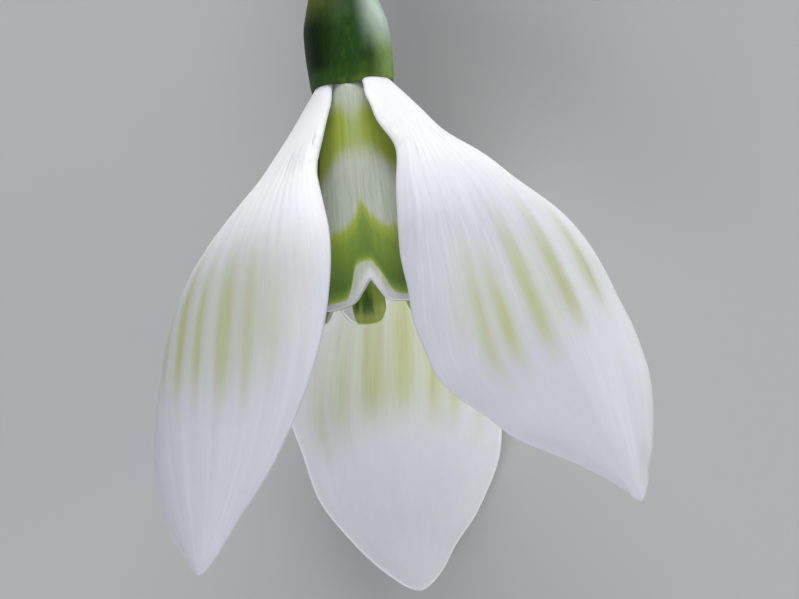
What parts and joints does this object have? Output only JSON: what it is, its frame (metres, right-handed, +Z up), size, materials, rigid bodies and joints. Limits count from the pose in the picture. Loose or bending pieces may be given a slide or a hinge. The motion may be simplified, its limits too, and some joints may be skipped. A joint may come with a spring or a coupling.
{
  "type": "snowdrop flower",
  "caption": "Single snowdrop flower head lying as picked: broad white outer petals around a short green-marked inner cup, on a green ovary with a short hooked stalk.",
  "frame": {"origin": "under the middle of the flower's bounding box, on the surface that it lies on", "axes": "+Z up from the surface; +Y along the flower from the petal tips to the cut stalk; +X across it, towards the wide open outer petal"},
  "size_m": [0.0256, 0.0458, 0.0243],
  "materials": {
    "outer_tepal": "soft satin white with faint yellow-green stripes",
    "inner_tepal": "satin white with green marks at the base and round the notch",
    "ovary": "waxy green",
    "pedicel": "waxy green",
    "filament": "matte white",
    "anther": "matte orange-yellow",
    "style": "matte pale green-white"
  },
  "bodies": {
    "root": {"ovary": "ovary", "pedicel": "pedicel", "outer_tepal_left": "outer_tepal", "outer_tepal_right": "outer_tepal", "outer_tepal_back": "outer_tepal", "inner_tepal_front": "inner_tepal", "inner_tepal_rear_left": "inner_tepal", "inner_tepal_rear_right": "inner_tepal", "filament_1": "filament", "filament_2": "filament", "filament_3": "filament", "filament_4": "filament", "filament_5": "filament", "filament_6": "filament", "anther_1": "anther", "anther_2": "anther", "anther_3": "anther", "anther_4": "anther", "anther_5": "anther", "anther_6": "anther", "style": "style"}
  },
  "joints": []
}
